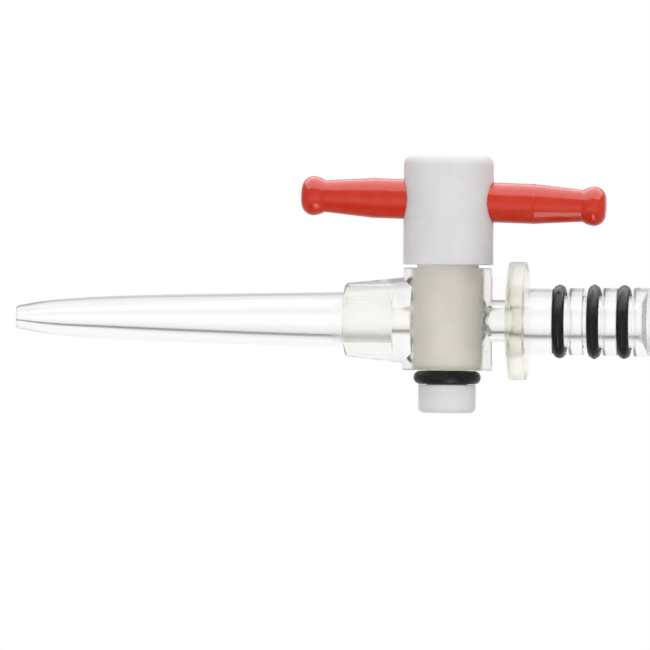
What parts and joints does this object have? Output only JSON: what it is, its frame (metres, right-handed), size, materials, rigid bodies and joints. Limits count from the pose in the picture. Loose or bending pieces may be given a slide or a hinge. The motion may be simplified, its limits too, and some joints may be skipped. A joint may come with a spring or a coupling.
{
  "type": "plug-in stopcock with drip tip",
  "caption": "Laboratory stopcock for a funnel or burette outlet: a turning key with a cross handle in a clear barrel, a tapered drip tip, and a plug-in spigot sealed by O-rings.",
  "frame": {"origin": "centre of the collar's seating face, on the flow axis, where the mating tube's end stops", "axes": "+X along the flow axis, out of the spigot and away from the drip tip; +Z along the key, from its retained end to its handle"},
  "size_m": [0.0981, 0.0176, 0.0386],
  "materials": {
    "clear_body_plastic": "clear, faintly yellow-green, glossy moulded",
    "clear_tube": "water-clear, glossy",
    "milky_plastic": "translucent, satin",
    "white_ptfe": "waxy white, satin, turned",
    "red_plastic": "semi-gloss moulded",
    "black_rubber": "satin"
  },
  "bodies": {
    "valve": {"stopcock_body": "clear_body_plastic", "drip_tip": "clear_tube", "collar": "milky_plastic", "spigot": "clear_tube", "spigot_o_ring_inner": "black_rubber", "spigot_o_ring_middle": "black_rubber", "spigot_o_ring_outer": "black_rubber"},
    "key": {"key": "white_ptfe", "handle_bar": "red_plastic", "key_o_ring": "black_rubber"}
  },
  "joints": [
    {"name": "key_turn", "type": "hinge", "parent": "valve", "child": "key", "pos_m": [-0.01185, 0, 0], "axis": [0, 0, 1], "continuous": true}
  ]
}
